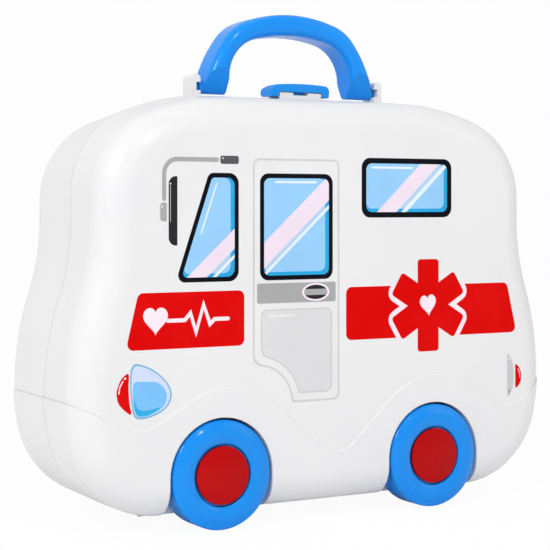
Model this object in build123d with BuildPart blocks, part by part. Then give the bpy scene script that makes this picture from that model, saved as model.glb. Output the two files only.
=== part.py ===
from build123d import *
import os
from math import atan, cos, degrees, radians, sin, tan

# Toy doctor case shaped like a little ambulance: two moulded half shells hinged along the
# bottom edge, a carrying handle, a flip latch, four rolling wheels and printed stickers.
# Millimetres. +X runs along the case towards the ambulance's tail, the front face looks
# towards -Y and +Z is up. The origin is on the ground, under the middle of the case.

os.makedirs("parts", exist_ok=True)

# ---- the case outline, seen from the front, where the two shells meet ----
case_width = 280.0          # across the fenders
case_bottom = 7.5           # lowest line above the ground
case_top = 214.3            # highest line above the ground
corner_radius = 47.6        # bottom corners
flank_radius = 106.6        # side between the bottom corner and the widest point
flank_sweep = 12.2          # degrees of that arc
fender_radius = 145.6       # side above the widest point
waist_radius = 118.4        # hollow above the fender
fender_sweep = 18.4         # degrees of each of the last two arcs
shoulder_radius = 44.6      # top corners
shoulder_sweep = 69.0       # degrees of the top corner, the roof's arc takes the rest
roof_radius = 129.0         # the roof's falling ends

# ---- the two shells ----
lid_depth = 38.0            # front shell
tray_depth = 58.0           # back shell
lid_draft = 1.0             # degrees, of the sides
tray_draft = 1.6
roof_draft = 5.4            # the roof falls from the rim towards both faces
face_rounding = 16.0        # edge between a face and the sides
wall = 2.2
skirt_step = 0.6            # how far the lower skirt stands proud of the upper body
skirt_bevel = 0.9           # height of its slanting upper edge
lip_height = 2.5            # tongue around the back shell's rim, inside the front shell
lip_thickness = 1.4
lip_clearance = 0.6
lip_root = 5.0              # how far the tongue's foot runs back along the wall
lip_bite = 0.4              # how far that foot is sunk into the wall
rim_gap = 0.3               # between the two rims when shut

# ---- the skirt's wavy upper edge: arcs and straights between level points ----
skirt_crest_z = 69.6        # over the wheels
skirt_crest_x = 61.5
skirt_dip_z = 34.0          # between the wheels
skirt_notch_z = 51.7        # beside the wheels
skirt_notch_x = 108.0
skirt_end_z = 69.5          # where it would be level again
skirt_end_out = 22.6        # that place beyond the case's ends
skirt_shift = 2.6           # the wave's middle, towards the tail
skirt_ease = 0.72           # share of the steepest slope that fits between two level points
skirt_upper_share = 0.72    # of two neighbouring arcs' radii together, the upper one's

# ---- wheels ----
wheel_radius = 26.8
wheel_width = 15.0
wheel_spacing = 125.0       # left wheel to right wheel
wheel_proud = 0.4           # tread's edge in front of the face of the case
arch_clearance = 1.2        # around the tread
well_clearance = 1.6        # behind the wheel
tread_thickness = 2.6
tread_rounding = 1.8
disc_thickness = 3.6
disc_crown = 1.3            # how far the disc bulges between tread and cap
cap_radius = 14.2
cap_clearance = 1.2         # around and behind its edge
cap_dome = 1.4
cap_wall = 1.5
cap_proud = 2.3             # cap's middle in front of the face of the case
cap_seat_wall = 2.0
hub_face = 6.0              # hub's web behind the face of the case
hub_web = 2.4
hub_wall = 3.2
axle_radius = 4.0
axle_clearance = 0.08
axle_end_play = 0.3
washer_radius = 6.6
washer_thickness = 0.8
screw_head_radius = 2.9
screw_head_height = 1.8
screw_radius = 1.3
screw_length = 11.0
screw_slot_width = 0.9
screw_slot_depth = 0.8

# ---- handle and its lugs ----
handle_top = 258.3
handle_crown = 11.2         # thickness at the top, seen from the front
handle_depth = 20.0         # thickness from front to back
handle_span = 102.0         # across the outer sides of the two legs, at their pivots
handle_lean = 18.0          # degrees that an outer side leans in at its pivot
leg_sweep = 20.0            # degrees that it bends on the way up
leg_radius = 68.3
shoulder_bend = 32.5        # degrees of the tighter bend above it
shoulder_bend_radius = 24.4
leg_width = 14.1            # from an outer side to the upright inner side, at the pivots
opening_bend = 76.0         # degrees of the opening's rounded upper corners
opening_bend_radius = 20.6
handle_roundness = 0.37     # share of the thickness at the top that each rounded edge takes
foot_radius = 3.7           # rounded end of each leg, around its pivot
foot_flare = 10.0           # height over which a leg widens to its full depth
pivot_height = 6.2          # handle's pivot above the roof
trunnion_radius = 2.2
trunnion_clearance = 0.06
trunnion_engagement = 2.0
lug_gap = 0.7               # between a leg's foot and its lug
collar_gap = 0.35           # left between the leg's collar and the lug
lug_thickness = 4.5
lug_depth = 11.0
lug_rounding = 2.0
lug_foot = 3.5              # flare at the root of a lug
lug_above_pivot = 6.0
lead_in_width = 4.2         # groove that guides a trunnion to its hole

# ---- latch and catch ----
latch_width = 35.2
latch_leg = 4.7
latch_bar = 4.3             # thickness of the cross bar
latch_bow = 0.9             # how far the bar's top arches up
latch_reach = 10.2          # front of the latch to its pivot
latch_rake = 1.3            # how far the foot of its front face lies behind the top
latch_top = 7.5             # top of the latch above the roof
latch_corner = 3.4
latch_edge = 0.7
latch_pivot_height = 3.1    # above the roof
latch_pivot_back = 2.6      # behind the rim
latch_end_radius = 2.4
latch_gap = 0.45
latch_pin_radius = 1.1
latch_pin_clearance = 0.05
tongue_width = 7.6
tongue_thickness = 1.1
tongue_bottom = 0.9         # above the roof
tongue_setback = 4.2        # tongue's outer face behind the latch's front
ear_width = 4.0
ear_radius = 2.3
catch_depth = 2.4
catch_setback = 1.0         # catch's face behind the latch's front
catch_notch_width = 8.8
catch_sill = 1.5            # foot of the notch above the roof

# ---- hinges along the bottom ----
hinge_inner = 37.0          # places of the hinges from the middle
hinge_end = 5.1             # from the outer hinges to the end of the level bottom
hinge_drop = 2.4            # hinge axis below the case's lowest line
knuckle_radius = 2.1
knuckle_width = 3.2         # the front shell's knuckle
cheek_width = 2.2           # each of the back shell's two knuckles
knuckle_gap = 0.3
hinge_pin_radius = 1.0
hinge_pin_clearance = 0.06
hinge_root = 4.0            # how far a knuckle's web reaches along the bottom

# ---- stickers ----
film = 0.15                 # thickness of the printed film
film_gap = 0.4              # between neighbouring films
pane_corner = 4.0           # rounded corners of the windows
print_corner = 3.0          # rounded corners of the other prints
window_sill = 120.8
window_head = 173.6
cab_window_foot = -87.6     # front corner of the cab window at the sill
cab_window_peak = -69.6     # the same at its head
cab_window_back = -53.3
door_front = -45.4
door_back = 4.6
door_head = 181.0
door_foot = 59.6
door_margin = 4.0           # from the door's edge to its window
door_cut_shift = 3.0        # the round cut-out over the wheel, from the door's front edge
door_cut_radius = 18.9
side_window_front = 18.0
side_window_back = 74.2
side_window_sill = 151.6
side_window_head = 182.2
band_bottom = 89.3          # the red band along the sides
band_top = 116.3
band_slant = 6.5            # its ends lean in by this much at the top
label_lead = 26.4           # its front end behind the case's nose
label_back = -50.2
stripe_front = 8.6
stripe_trail = 22.6         # its back end ahead of the case's tail
sign_x = 59.4               # the six-armed sign
sign_z = 105.6
sign_arm = 13.4
sign_rise = 24.2            # length of an upright arm
sign_reach = 23.0           # length of a slanting arm
sign_slant = 31.0           # degrees
sign_margin = 0.3           # film left around the sign
mirror_front = -96.0        # the door mirror on its bent arm
mirror_back = -86.3
mirror_foot = 138.3
mirror_head = 182.3
mirror_arm_end = -53.0
mirror_arm = 4.6
mirror_bend = 9.0
headlight_lead = 21.6       # its red lamp's front behind the nose
headlight_length = 29.0
headlight_z = 69.0
headlight_crescent = 9.8    # half height of the red lamp ahead of it
headlight_nose = 3.0        # rounded upper and lower ends of the glass
headlight_rise = 83.0
headlight_fall = 56.7
headlight_belly = 8.6       # rounded back of the glass
headlight_edge = 10.2       # from its front to the middle of the glass's upper end
tail_trail = 19.1           # its back ahead of the tail
tail_length = 9.8
tail_foot = 54.3
tail_head = 77.9

# ---- derived places ----
front_y = -(lid_depth + tray_depth) / 2
rim_y = front_y + lid_depth
back_y = rim_y + tray_depth
middle = Plane.XZ.offset(-(front_y + back_y) / 2)
half_width = case_width / 2
wheel_x = wheel_spacing / 2
arch_radius = wheel_radius + arch_clearance
well_depth = wheel_width - wheel_proud + well_clearance
roof_z = case_top - skirt_step
panel_y = front_y + skirt_step
reach = 2 * case_width      # longer than anything in the case


def case_outline(y, side_fall=0.0, roof_fall=0.0, inset=0.0):
    """The case's outline at a depth, with its sides and roof drawn in and an inset all round."""
    lean = radians(flank_sweep)
    swing = radians(fender_sweep)
    bend = radians(shoulder_sweep)
    widest_x = half_width - side_fall
    widest_z = case_bottom + flank_radius * sin(lean) + corner_radius * (1 - sin(lean))
    waist_rise = (fender_radius + waist_radius) * sin(swing)
    roof_rise = shoulder_radius * sin(bend) + roof_radius * (1 - sin(bend))
    top = case_top - roof_fall
    straight = top - widest_z - waist_rise - roof_rise
    with BuildSketch(Plane.XZ.offset(-y)) as outline:
        with BuildLine():
            flank = JernArc((widest_x, widest_z), (0, -1), flank_radius, -flank_sweep)
            corner = JernArc(flank @ 1, flank % 1, corner_radius, flank_sweep - 90)
            Line(corner @ 1, (0, case_bottom))
            fender = JernArc((widest_x, widest_z), (0, 1), fender_radius, fender_sweep)
            waist = JernArc(fender @ 1, fender % 1, waist_radius, -fender_sweep)
            side = Line(waist @ 1, waist @ 1 + Vector(0, straight))
            shoulder = JernArc(side @ 1, (0, 1), shoulder_radius, shoulder_sweep)
            roof = JernArc(shoulder @ 1, shoulder % 1, roof_radius, 90 - shoulder_sweep)
            Line(roof @ 1, (0, top))
            mirror(about=Plane.YZ)
        make_face()
        if inset > 0:
            offset(amount=-inset)
    return outline.sketch


def moulding(inset, depth, draft):
    """A solid half case from the rim to the face, pulled in by an inset all over."""
    run = depth - inset
    side_fall = run * tan(radians(draft))
    roof_fall = run * tan(radians(roof_draft))
    with BuildPart() as form:
        rim = case_outline(rim_y, inset=inset)
        loft([rim.face(), case_outline(rim_y - run, side_fall, roof_fall, inset).face()], ruled=True)
        fillet(form.faces().sort_by(Axis.Y)[0].edges(), face_rounding - inset)
    return form.part


def below_skirt_line(face_y):
    """Everything under the skirt's wavy upper edge, which slants on the face."""
    levels = [(-half_width - skirt_end_out, skirt_end_z)]
    levels += [(skirt_shift - skirt_notch_x, skirt_notch_z), (skirt_shift - skirt_crest_x, skirt_crest_z)]
    levels += [(skirt_shift, skirt_dip_z), (skirt_shift + skirt_crest_x, skirt_crest_z)]
    levels += [(skirt_shift + skirt_notch_x, skirt_notch_z), (half_width + skirt_end_out, skirt_end_z)]
    with BuildPart() as region:
        with BuildSketch(Plane.XZ.offset(-face_y - skirt_step)) as under:
            with BuildLine():
                for (x, z), (next_x, next_z) in zip(levels, levels[1:]):
                    run = next_x - x
                    rise = abs(next_z - z)
                    slope = skirt_ease * 2 * atan(rise / run)
                    radii = (run * sin(slope) - rise * cos(slope)) / (1 - cos(slope))
                    length = (run - radii * sin(slope)) / cos(slope)
                    upper = radii * skirt_upper_share
                    first_radius, last_radius = (radii - upper, upper) if next_z > z else (upper, radii - upper)
                    turn = degrees(slope) if next_z > z else -degrees(slope)
                    first = JernArc((x, z), (1, 0), first_radius, turn)
                    straight = Line(first @ 1, first @ 1 + first % 1 * length)
                    last = JernArc(straight @ 1, straight % 1, last_radius, -turn)
                Polyline(last @ 1, (levels[-1][0], -reach), (levels[0][0], -reach), levels[0])
            make_face()
        extrude(under.sketch, amount=reach, dir=(0, 1, 0))
        extrude(under.sketch, amount=2 * skirt_step, dir=(0, -skirt_step, -skirt_bevel))
    return region.part


def wheel_pockets(radius, depth, overshoot, face_y):
    """U-shaped pockets over the two wheels of one face, open downwards."""
    with BuildPart() as pockets:
        with BuildSketch(Plane.XZ.offset(overshoot - face_y)):
            with Locations((-wheel_x, wheel_radius), (wheel_x, wheel_radius)):
                Circle(radius)
                Rectangle(2 * radius, reach, align=(Align.CENTER, Align.MAX))
        extrude(amount=-(depth + overshoot))
    return pockets.part


def shell(depth, draft):
    """A half case facing -Y: walls, skirt, wheel wells and the stubs that the wheels turn on."""
    face_y = rim_y - depth
    outer = moulding(0, depth, draft)
    skirt = outer & below_skirt_line(face_y)
    well_walls = outer & wheel_pockets(arch_radius + wall, well_depth + wall, 0, face_y)
    with BuildPart() as body:
        add(moulding(skirt_step, depth, draft))
        add(skirt)
        add(moulding(wall, depth, draft), mode=Mode.SUBTRACT)
        add(well_walls)
        add(wheel_pockets(arch_radius, well_depth, wall, face_y), mode=Mode.SUBTRACT)
        with BuildSketch(Plane.XZ.offset(-(face_y + well_depth))):
            with Locations((-wheel_x, wheel_radius), (wheel_x, wheel_radius)):
                Circle(axle_radius)
        extrude(amount=well_depth - hub_face + axle_end_play)
        with BuildSketch(Plane.XZ.offset(-(face_y + hub_face - axle_end_play))):
            with Locations((-wheel_x, wheel_radius), (wheel_x, wheel_radius)):
                Circle(screw_radius)
        extrude(amount=-screw_length, mode=Mode.SUBTRACT)
    return body.part


def across(x_low, x_high, profile):
    """A bar along X between two places, of a profile drawn on the YZ plane."""
    with BuildPart() as bar:
        extrude(profile.moved(Location((x_low, 0, 0))), amount=x_high - x_low)
    return bar.part


def put(name, solid):
    """Label a finished part and write it out."""
    solid.label = name
    export_step(solid, f"parts/{name}.step")


def put_both(name, solid):
    """Write a part of the front face and its mirror image on the back face."""
    put("front_" + name, solid)
    put("rear_" + name, mirror(solid, about=middle))


# ---- hinge knuckles under the rim ----
lean_in = radians(flank_sweep)
level_end = half_width - flank_radius * (1 - cos(lean_in)) - corner_radius * cos(lean_in)
hinge_outer = level_end - hinge_end
hinge_places = [-hinge_outer, -hinge_inner, hinge_inner, hinge_outer]
hinge_z = case_bottom - hinge_drop
hinge_half = knuckle_width / 2 + knuckle_gap + cheek_width


def knuckle_profile(side, bore):
    """A knuckle and its web: side -1 hangs on the front shell, 1 on the back shell."""
    root = hinge_z + hinge_drop + wall / 2
    with BuildSketch(Plane.YZ) as profile:
        with Locations((rim_y, hinge_z)):
            Circle(knuckle_radius)
        with BuildLine():
            Polyline(
                (rim_y + side * rim_gap, root),
                (rim_y + side * hinge_root, root),
                (rim_y + side * hinge_root, hinge_z + hinge_drop / 2),
                (rim_y + side * knuckle_radius / 2, hinge_z - knuckle_radius / 2),
                (rim_y + side * rim_gap, hinge_z),
                close=True,
            )
        make_face()
        with Locations((rim_y, hinge_z)):
            Circle(bore, mode=Mode.SUBTRACT)
    return profile.sketch


lid_knuckle = knuckle_profile(-1, hinge_pin_radius + hinge_pin_clearance)
tray_knuckle = knuckle_profile(1, hinge_pin_radius)
lid_knuckles = []
tray_knuckles = []
for x in hinge_places:
    lid_knuckles.append(across(x - knuckle_width / 2, x + knuckle_width / 2, lid_knuckle))
    tray_knuckles.append(across(x - hinge_half, x - hinge_half + cheek_width, tray_knuckle))
    tray_knuckles.append(across(x + hinge_half - cheek_width, x + hinge_half, tray_knuckle))

# ---- front shell: the lid, with the latch's catch ----
latch_y = rim_y + latch_pivot_back
latch_z = roof_z + latch_pivot_height
latch_front = latch_y - latch_reach
catch_half = latch_width / 2 - latch_leg - latch_gap
catch_top = roof_z + latch_top - latch_bar - latch_gap

lid_body = shell(lid_depth, lid_draft)
with BuildPart() as front_shell:
    add(lid_body)
    add(lid_knuckles)
    catch_y = latch_front + catch_setback + catch_depth / 2
    catch_root = roof_z - wall / 2
    with Locations((0, catch_y, catch_root)):
        Box(2 * catch_half, catch_depth, catch_top - catch_root, align=(Align.CENTER, Align.CENTER, Align.MIN))
    with Locations((0, catch_y, roof_z + catch_sill)):
        Box(catch_notch_width, 2 * catch_depth, latch_top,
            align=(Align.CENTER, Align.CENTER, Align.MIN), mode=Mode.SUBTRACT)
put("front_shell", front_shell.part)

# ---- back shell: the tray, with the rim's tongue, the handle's lugs and the latch's ears ----
handle_y = (front_y + back_y) / 2
roof_drop = tan(radians(roof_draft)) * (handle_y - rim_y)
pivot_z = roof_z - roof_drop + pivot_height
half_span = handle_span / 2
lean = radians(handle_lean)
leg_outer = half_span + foot_radius * tan(lean)
lug_inner = leg_outer + lug_gap
lug_outer = lug_inner + lug_thickness
lug_root = roof_z - roof_drop - wall

tray_body = shell(tray_depth, tray_draft)
lip_outer = case_outline(rim_y, inset=wall + lip_clearance)
lip_inner = case_outline(rim_y, inset=wall + lip_clearance + lip_thickness)
lip_foot = case_outline(rim_y, inset=wall - lip_bite)


with BuildPart() as lug:
    lug_top = pivot_z + lug_above_pivot
    flare_z = lug_root + wall / 2
    with BuildSketch(Plane.XZ.offset(lug_depth / 2 - handle_y)) as lug_profile:
        with BuildLine():
            Polyline((lug_outer, lug_top), (lug_inner, lug_top), (lug_inner, lug_root))
            foot = RadiusArc((lug_outer, flare_z + lug_foot), (lug_outer + lug_foot, flare_z), -lug_foot)
            Line((lug_outer, lug_top), foot @ 0)
            Polyline(foot @ 1, (lug_outer + lug_foot, lug_root), (lug_inner, lug_root))
        make_face()
        fillet(lug_profile.vertices().group_by(Axis.Y)[-1], lug_rounding)
    extrude(amount=-lug_depth)
    with BuildSketch(Plane.YZ.offset(lug_inner)):
        with Locations((handle_y, pivot_z)):
            Circle(trunnion_radius + trunnion_clearance)
            Rectangle(lug_depth, lead_in_width, align=(Align.MAX, Align.CENTER))
    extrude(amount=trunnion_engagement + collar_gap, mode=Mode.SUBTRACT)

with BuildSketch(Plane.YZ) as ear_profile:
    with Locations((latch_y, latch_z)):
        Circle(ear_radius)
        Rectangle(2 * ear_radius, latch_z - catch_root, align=(Align.CENTER, Align.MAX))
        Circle(latch_pin_radius + latch_pin_clearance, mode=Mode.SUBTRACT)
ears = [
    across(catch_half - ear_width, catch_half, ear_profile.sketch),
    across(-catch_half, ear_width - catch_half, ear_profile.sketch),
]

with BuildPart() as back_shell:
    mirror(tray_body, about=Plane.XZ.offset(-rim_y))
    split(bisect_by=Plane.XZ.offset(-(rim_y + rim_gap)), keep=Keep.BOTTOM)
    extrude(lip_foot, amount=-lip_root)
    extrude(lip_outer, amount=lip_height)
    extrude(lip_inner, amount=-lip_root, mode=Mode.SUBTRACT)
    extrude(lip_inner, amount=lip_height, mode=Mode.SUBTRACT)
    add(tray_knuckles)
    add(ears)
    add(lug.part)
    mirror(lug.part, about=Plane.YZ)
put("back_shell", back_shell.part)

# ---- hinge pins ----
with BuildPart() as hinge_pins:
    with Locations([(x, rim_y, hinge_z) for x in hinge_places]):
        Cylinder(hinge_pin_radius, 2 * hinge_half, rotation=(0, 90, 0))
put("hinge_pins", hinge_pins.part)

# ---- latch and its pin ----
latch_half = latch_width / 2
leg_inner = latch_half - latch_leg
latch_base = latch_z - latch_end_radius
bar_depth = tongue_setback + tongue_thickness

with BuildPart() as latch:
    with BuildSketch(Plane.YZ.offset(-latch_half)):
        with Locations((latch_y, latch_z)):
            Circle(latch_end_radius)
        with BuildLine():
            Polyline(
                (latch_front, roof_z + latch_top),
                (latch_front + bar_depth, roof_z + latch_top),
                (latch_front + bar_depth, latch_base),
                (latch_front + latch_rake, latch_base),
                close=True,
            )
        make_face()
        make_hull()
    extrude(amount=latch_width)
    with BuildSketch(Plane.XZ.offset(-latch_y)) as arch:
        with BuildLine():
            top_corner = (latch_half, roof_z + latch_top - latch_bow)
            ThreePointArc((-latch_half, top_corner[1]), (0, roof_z + latch_top), top_corner)
            Polyline(top_corner, (latch_half, latch_base), (-latch_half, latch_base), (-latch_half, top_corner[1]))
        make_face()
        fillet(arch.vertices().group_by(Axis.Y)[-1], latch_corner)
    extrude(amount=case_width, both=True, mode=Mode.INTERSECT)
    fillet(latch.faces().sort_by(Axis.Y)[0].edges(), latch_edge)
    with Locations((0, latch_front, roof_z + latch_top - latch_bar)):
        Box(2 * leg_inner, reach, latch_width, align=(Align.CENTER, Align.CENTER, Align.MAX), mode=Mode.SUBTRACT)
    with Locations((0, latch_front + bar_depth, latch_base)):
        Box(2 * leg_inner, reach, latch_width, align=(Align.CENTER, Align.MIN, Align.MIN), mode=Mode.SUBTRACT)
    with Locations((0, latch_front + tongue_setback, roof_z + tongue_bottom)):
        Box(tongue_width, tongue_thickness, latch_top - latch_bar / 2 - tongue_bottom,
            align=(Align.CENTER, Align.MIN, Align.MIN))
    with Locations((0, latch_y, latch_z)):
        Cylinder(latch_pin_radius, latch_width - latch_leg, rotation=(0, 90, 0), mode=Mode.SUBTRACT)
put("latch", latch.part)

with BuildPart() as latch_pin:
    with Locations((0, latch_y, latch_z)):
        Cylinder(latch_pin_radius, latch_width - latch_leg, rotation=(0, 90, 0))
put("latch_pin", latch_pin.part)

# ---- handle ----
foot_z = pivot_z - foot_radius
elbow = radians(handle_lean + leg_sweep)
crest = radians(handle_lean + leg_sweep + shoulder_bend)
span_left = half_span - leg_radius * (cos(lean) - cos(elbow)) - shoulder_bend_radius * (cos(elbow) - cos(crest))
rise_left = handle_top - pivot_z - leg_radius * (sin(elbow) - sin(lean))
rise_left -= shoulder_bend_radius * (sin(crest) - sin(elbow))
closing = sin(lean) * (1 - sin(crest)) - cos(lean) * cos(crest)
leg_straight = (span_left * (1 - sin(crest)) - rise_left * cos(crest)) / closing
crown_radius = (rise_left * sin(lean) - span_left * cos(lean)) / closing
opening_half = half_span - leg_width
corner = radians(opening_bend)
opening_crown_radius = (opening_half - opening_bend_radius * (1 - cos(corner))) / cos(corner)
opening_rise = opening_bend_radius * sin(corner) + opening_crown_radius * (1 - sin(corner))
opening_top = handle_top - handle_crown
leg_middle = half_span - leg_width / 2


with BuildPart() as handle:
    with BuildSketch(Plane.XZ.offset(handle_depth / 2 - handle_y)) as silhouette:
        with BuildLine():
            outer_leg = Line(
                (leg_outer, foot_z),
                (half_span - leg_straight * sin(lean), pivot_z + leg_straight * cos(lean)),
            )
            outer_bend = JernArc(outer_leg @ 1, outer_leg % 1, leg_radius, leg_sweep)
            outer_shoulder = JernArc(outer_bend @ 1, outer_bend % 1, shoulder_bend_radius, shoulder_bend)
            JernArc(outer_shoulder @ 1, outer_shoulder % 1, crown_radius, 90 - degrees(crest))
            inner_leg = Line((opening_half, foot_z), (opening_half, opening_top - opening_rise))
            inner_bend = JernArc(inner_leg @ 1, inner_leg % 1, opening_bend_radius, opening_bend)
            JernArc(inner_bend @ 1, inner_bend % 1, opening_crown_radius, 90 - opening_bend)
            Line((leg_outer, foot_z), (opening_half, foot_z))
            Line((0, opening_top), (0, handle_top))
        make_face()
        mirror(about=Plane.YZ)
    extrude(amount=-handle_depth)
    rounded = handle.faces().filter_by(Axis.Y).edges().filter_by(Axis.X, reverse=True)
    fillet(rounded, handle_crown * handle_roundness)
    with BuildSketch(Plane.YZ) as side_view:
        with Locations((handle_y, pivot_z)):
            Circle(foot_radius)
        with Locations((handle_y, pivot_z + foot_flare)):
            Rectangle(handle_depth, handle_top - pivot_z - foot_flare, align=(Align.CENTER, Align.MIN))
        make_hull()
    extrude(amount=half_width, both=True, mode=Mode.INTERSECT)
    collar_end = lug_inner - collar_gap
    trunnion_end = lug_inner + trunnion_engagement
    for side in (-1, 1):
        with Locations((side * (leg_middle + collar_end) / 2, handle_y, pivot_z)):
            Cylinder(foot_radius, collar_end - leg_middle, rotation=(0, 90, 0))
        with Locations((side * (leg_middle + trunnion_end) / 2, handle_y, pivot_z)):
            Cylinder(trunnion_radius, trunnion_end - leg_middle, rotation=(0, 90, 0))
put("handle", handle.part)

# ---- wheels, caps, washers and screws; depths are behind the face of the case ----
wheel_face = -wheel_proud
ring_radius = cap_radius + cap_clearance
seat_radius = cap_radius - cap_wall
cap_edge = cap_dome - cap_proud
cap_back = cap_edge + cap_wall
ledge = cap_back + cap_clearance
bore_radius = axle_radius + axle_clearance
washer_back = hub_face - axle_end_play
washer_front = washer_back - washer_thickness
head_front = washer_front - screw_head_height


for side_name, x in (("left", -wheel_x), ("right", wheel_x)):
    place = Plane((x, front_y, wheel_radius), x_dir=(1, 0, 0), z_dir=(0, 0, 1))
    with BuildPart() as wheel:
        with BuildSketch(place):
            with BuildLine():
                tread_back = wheel_face + wheel_width
                shoulder_r = wheel_radius - tread_rounding
                start = Polyline(
                    (bore_radius, hub_face),
                    (seat_radius, hub_face),
                    (seat_radius, ledge),
                    (ring_radius, ledge),
                    (ring_radius, wheel_face),
                )
                middle_r = (ring_radius + shoulder_r) / 2
                face = ThreePointArc(start @ 1, (middle_r, wheel_face - disc_crown), (shoulder_r, wheel_face))
                edge = RadiusArc(face @ 1, (wheel_radius, wheel_face + tread_rounding), -tread_rounding)
                Polyline(
                    edge @ 1,
                    (wheel_radius, tread_back),
                    (wheel_radius - tread_thickness, tread_back),
                    (wheel_radius - tread_thickness, wheel_face + disc_thickness),
                    (seat_radius + cap_seat_wall, wheel_face + disc_thickness),
                    (seat_radius + cap_seat_wall, hub_face + hub_web),
                    (bore_radius + hub_wall, hub_face + hub_web),
                    (bore_radius + hub_wall, well_depth - axle_end_play),
                    (bore_radius, well_depth - axle_end_play),
                    start @ 0,
                )
            make_face()
        revolve(axis=Axis(place.origin, place.y_dir))
    put_both(side_name + "_wheel", wheel.part)
    with BuildPart() as cap:
        with BuildSketch(place):
            with BuildLine():
                dome = TangentArc((0, -cap_proud), (cap_radius, cap_edge), tangent=(1, 0))
                Polyline(
                    dome @ 1,
                    (cap_radius, cap_back),
                    (seat_radius, cap_back),
                    (seat_radius, hub_face),
                    (seat_radius - cap_wall, hub_face),
                    (seat_radius - cap_wall, cap_back),
                    (0, cap_back),
                    dome @ 0,
                )
            make_face()
        revolve(axis=Axis(place.origin, place.y_dir))
    put_both(side_name + "_cap", cap.part)

axles = [Plane((x, front_y, wheel_radius), x_dir=(1, 0, 0), z_dir=(0, 1, 0)) for x in (-wheel_x, wheel_x)]
with BuildPart() as washers:
    for axle in axles:
        with BuildSketch(axle.offset(washer_front)):
            Circle(washer_radius)
            Circle(screw_radius, mode=Mode.SUBTRACT)
        extrude(amount=washer_thickness)
put_both("washers", washers.part)

with BuildPart() as screws:
    for axle in axles:
        with BuildSketch(axle.offset(head_front)):
            Circle(screw_head_radius)
        extrude(amount=screw_head_height)
        with BuildSketch(axle.offset(washer_front)):
            Circle(screw_radius)
        extrude(amount=screw_length)
        with BuildSketch(axle.offset(head_front)):
            Rectangle(2 * screw_head_radius, screw_slot_width)
        extrude(amount=screw_slot_depth, mode=Mode.SUBTRACT)
put_both("screws", screws.part)

# ---- printed films on both faces ----
panel = Plane.XZ.offset(-panel_y)
skirt_region = below_skirt_line(front_y)


def window(front_foot, front_head, back, sill, head):
    """A window's outline with its front edge leaning."""
    with BuildSketch(panel) as outline:
        with BuildLine():
            Polyline((front_foot, sill), (back, sill), (back, head), (front_head, head), close=True)
        make_face()
        fillet(outline.vertices(), pane_corner)
    return outline.sketch


def print_film(name, outline):
    """A sheet of film on the front panel, cut back along the skirt's edge, and its rear twin."""
    with BuildPart() as sheet:
        extrude(outline, amount=film)
        add(skirt_region, mode=Mode.SUBTRACT)
    put_both(name, sheet.part)


print_film("cab_window", window(cab_window_foot, cab_window_peak, cab_window_back, window_sill, window_head))
print_film("side_window", window(side_window_front, side_window_front, side_window_back,
                                 side_window_sill, side_window_head))
door_window = window(door_front + door_margin, door_front + door_margin, door_back - door_margin,
                     window_sill, window_head)
print_film("door_window", door_window)

with BuildSketch(panel) as door_outline:
    with BuildLine():
        Polyline((door_front, door_foot), (door_back, door_foot), (door_back, door_head),
                 (door_front, door_head), close=True)
    make_face()
    fillet(door_outline.vertices(), print_corner)
    with Locations((door_front + door_cut_shift, door_foot)):
        Circle(door_cut_radius, mode=Mode.SUBTRACT)
        Rectangle(door_cut_radius, 2 * door_cut_radius, align=(Align.MAX, Align.CENTER), mode=Mode.SUBTRACT)
    cut_corner = (door_front, door_foot + door_cut_radius)
    fillet(door_outline.vertices().sort_by_distance(cut_corner)[0], door_cut_shift / 2)
    add(offset(door_window, amount=film_gap, mode=Mode.PRIVATE), mode=Mode.SUBTRACT)
print_film("door_print", door_outline.sketch)

label_front = label_lead - half_width
stripe_back = half_width - stripe_trail

with BuildSketch(panel) as label_outline:
    with BuildLine():
        Polyline((label_front, band_bottom), (label_back, band_bottom), (label_back, band_top),
                 (label_front + band_slant, band_top), close=True)
    make_face()
    fillet(label_outline.vertices(), print_corner)
print_film("label_print", label_outline.sketch)

with BuildSketch(panel) as band_outline:
    with BuildLine():
        Polyline((stripe_front, band_bottom), (stripe_back, band_bottom),
                 (stripe_back - band_slant, band_top), (stripe_front, band_top), close=True)
    make_face()
    fillet(band_outline.vertices(), print_corner)
    with Locations((sign_x, sign_z)):
        arm = sign_arm + 2 * sign_margin
        Rectangle(arm, 2 * (sign_rise + sign_margin))
        Rectangle(2 * (sign_reach + sign_margin), arm, rotation=sign_slant)
        Rectangle(2 * (sign_reach + sign_margin), arm, rotation=-sign_slant)
print_film("sign_print", band_outline.sketch)

with BuildSketch(panel) as mirror_outline:
    with BuildLine():
        Polyline((mirror_front, mirror_foot), (mirror_back, mirror_foot),
                 (mirror_back, mirror_head - mirror_arm), (mirror_arm_end, mirror_head - mirror_arm),
                 (mirror_arm_end, mirror_head), (mirror_front, mirror_head), close=True)
    make_face()
    fillet(mirror_outline.vertices().sort_by_distance((mirror_front, mirror_head))[0], mirror_bend)
print_film("mirror_print", mirror_outline.sketch)

headlight_front = headlight_lead - half_width
headlight_back = headlight_front + headlight_length
with BuildSketch(panel) as headlight_outline:
    with Locations((headlight_front + headlight_edge, headlight_rise - headlight_nose)):
        Circle(headlight_nose)
    with Locations((headlight_front + headlight_edge + headlight_nose / 2, headlight_fall + headlight_nose)):
        Circle(headlight_nose)
    with Locations((headlight_back - headlight_belly, headlight_z)):
        Circle(headlight_belly)
    with Locations((headlight_front + headlight_crescent, headlight_z)):
        Circle(headlight_crescent)
    make_hull()
print_film("headlight", headlight_outline.sketch)

tail_back = half_width - tail_trail
tail_front = tail_back - tail_length
with BuildSketch(panel) as tail_outline:
    with BuildLine():
        bow = ThreePointArc((tail_front, tail_foot), (tail_back, (tail_foot + tail_head) / 2),
                            (tail_front, tail_head))
        Line(bow @ 1, bow @ 0)
    make_face()
print_film("tail_light", tail_outline.sketch)
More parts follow.
